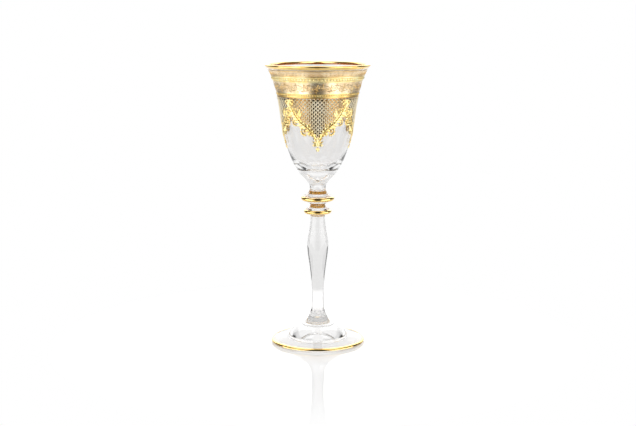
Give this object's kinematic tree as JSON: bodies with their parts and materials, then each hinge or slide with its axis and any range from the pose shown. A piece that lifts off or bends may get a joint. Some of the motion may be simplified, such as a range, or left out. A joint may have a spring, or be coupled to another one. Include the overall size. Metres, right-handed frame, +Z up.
{
  "type": "cordial glass",
  "caption": "Clear cordial glass with a flared bell bowl, baluster stem and round foot, gilded with etched friezes, lattice swags and gold edges.",
  "frame": {"origin": "middle of the foot's resting ring, on the table", "axes": "+Z up along the glass's axis, -Y towards the front swag, +X to the right of it"},
  "size_m": [0.056, 0.056, 0.15],
  "materials": {
    "crystal": "clear polished crystal",
    "burnished_gold": "burnished fired gold",
    "etched_gold": "etched matt gold"
  },
  "bodies": {
    "root": {"bead_band": "burnished_gold", "bowl": "crystal", "bowl_button": "crystal", "drop_flower_1": "burnished_gold", "drop_flower_2": "burnished_gold", "drop_flower_3": "burnished_gold", "drop_flower_4": "burnished_gold", "foot": "crystal", "foot_collar": "crystal", "foot_gold_edge": "burnished_gold", "garland_1": "burnished_gold", "garland_2": "burnished_gold", "garland_3": "burnished_gold", "garland_4": "burnished_gold", "lattice_panel_1": "etched_gold", "lattice_panel_2": "etched_gold", "lattice_panel_3": "etched_gold", "lattice_panel_4": "etched_gold", "leaf_band": "burnished_gold", "lower_merese": "crystal", "lower_merese_gold": "burnished_gold", "palmette_1": "burnished_gold", "palmette_2": "burnished_gold", "palmette_3": "burnished_gold", "palmette_4": "burnished_gold", "rim_gold_band": "burnished_gold", "scroll_frieze": "etched_gold", "stem": "crystal", "upper_frieze": "etched_gold", "upper_merese": "crystal", "upper_merese_gold": "burnished_gold"}
  },
  "joints": []
}
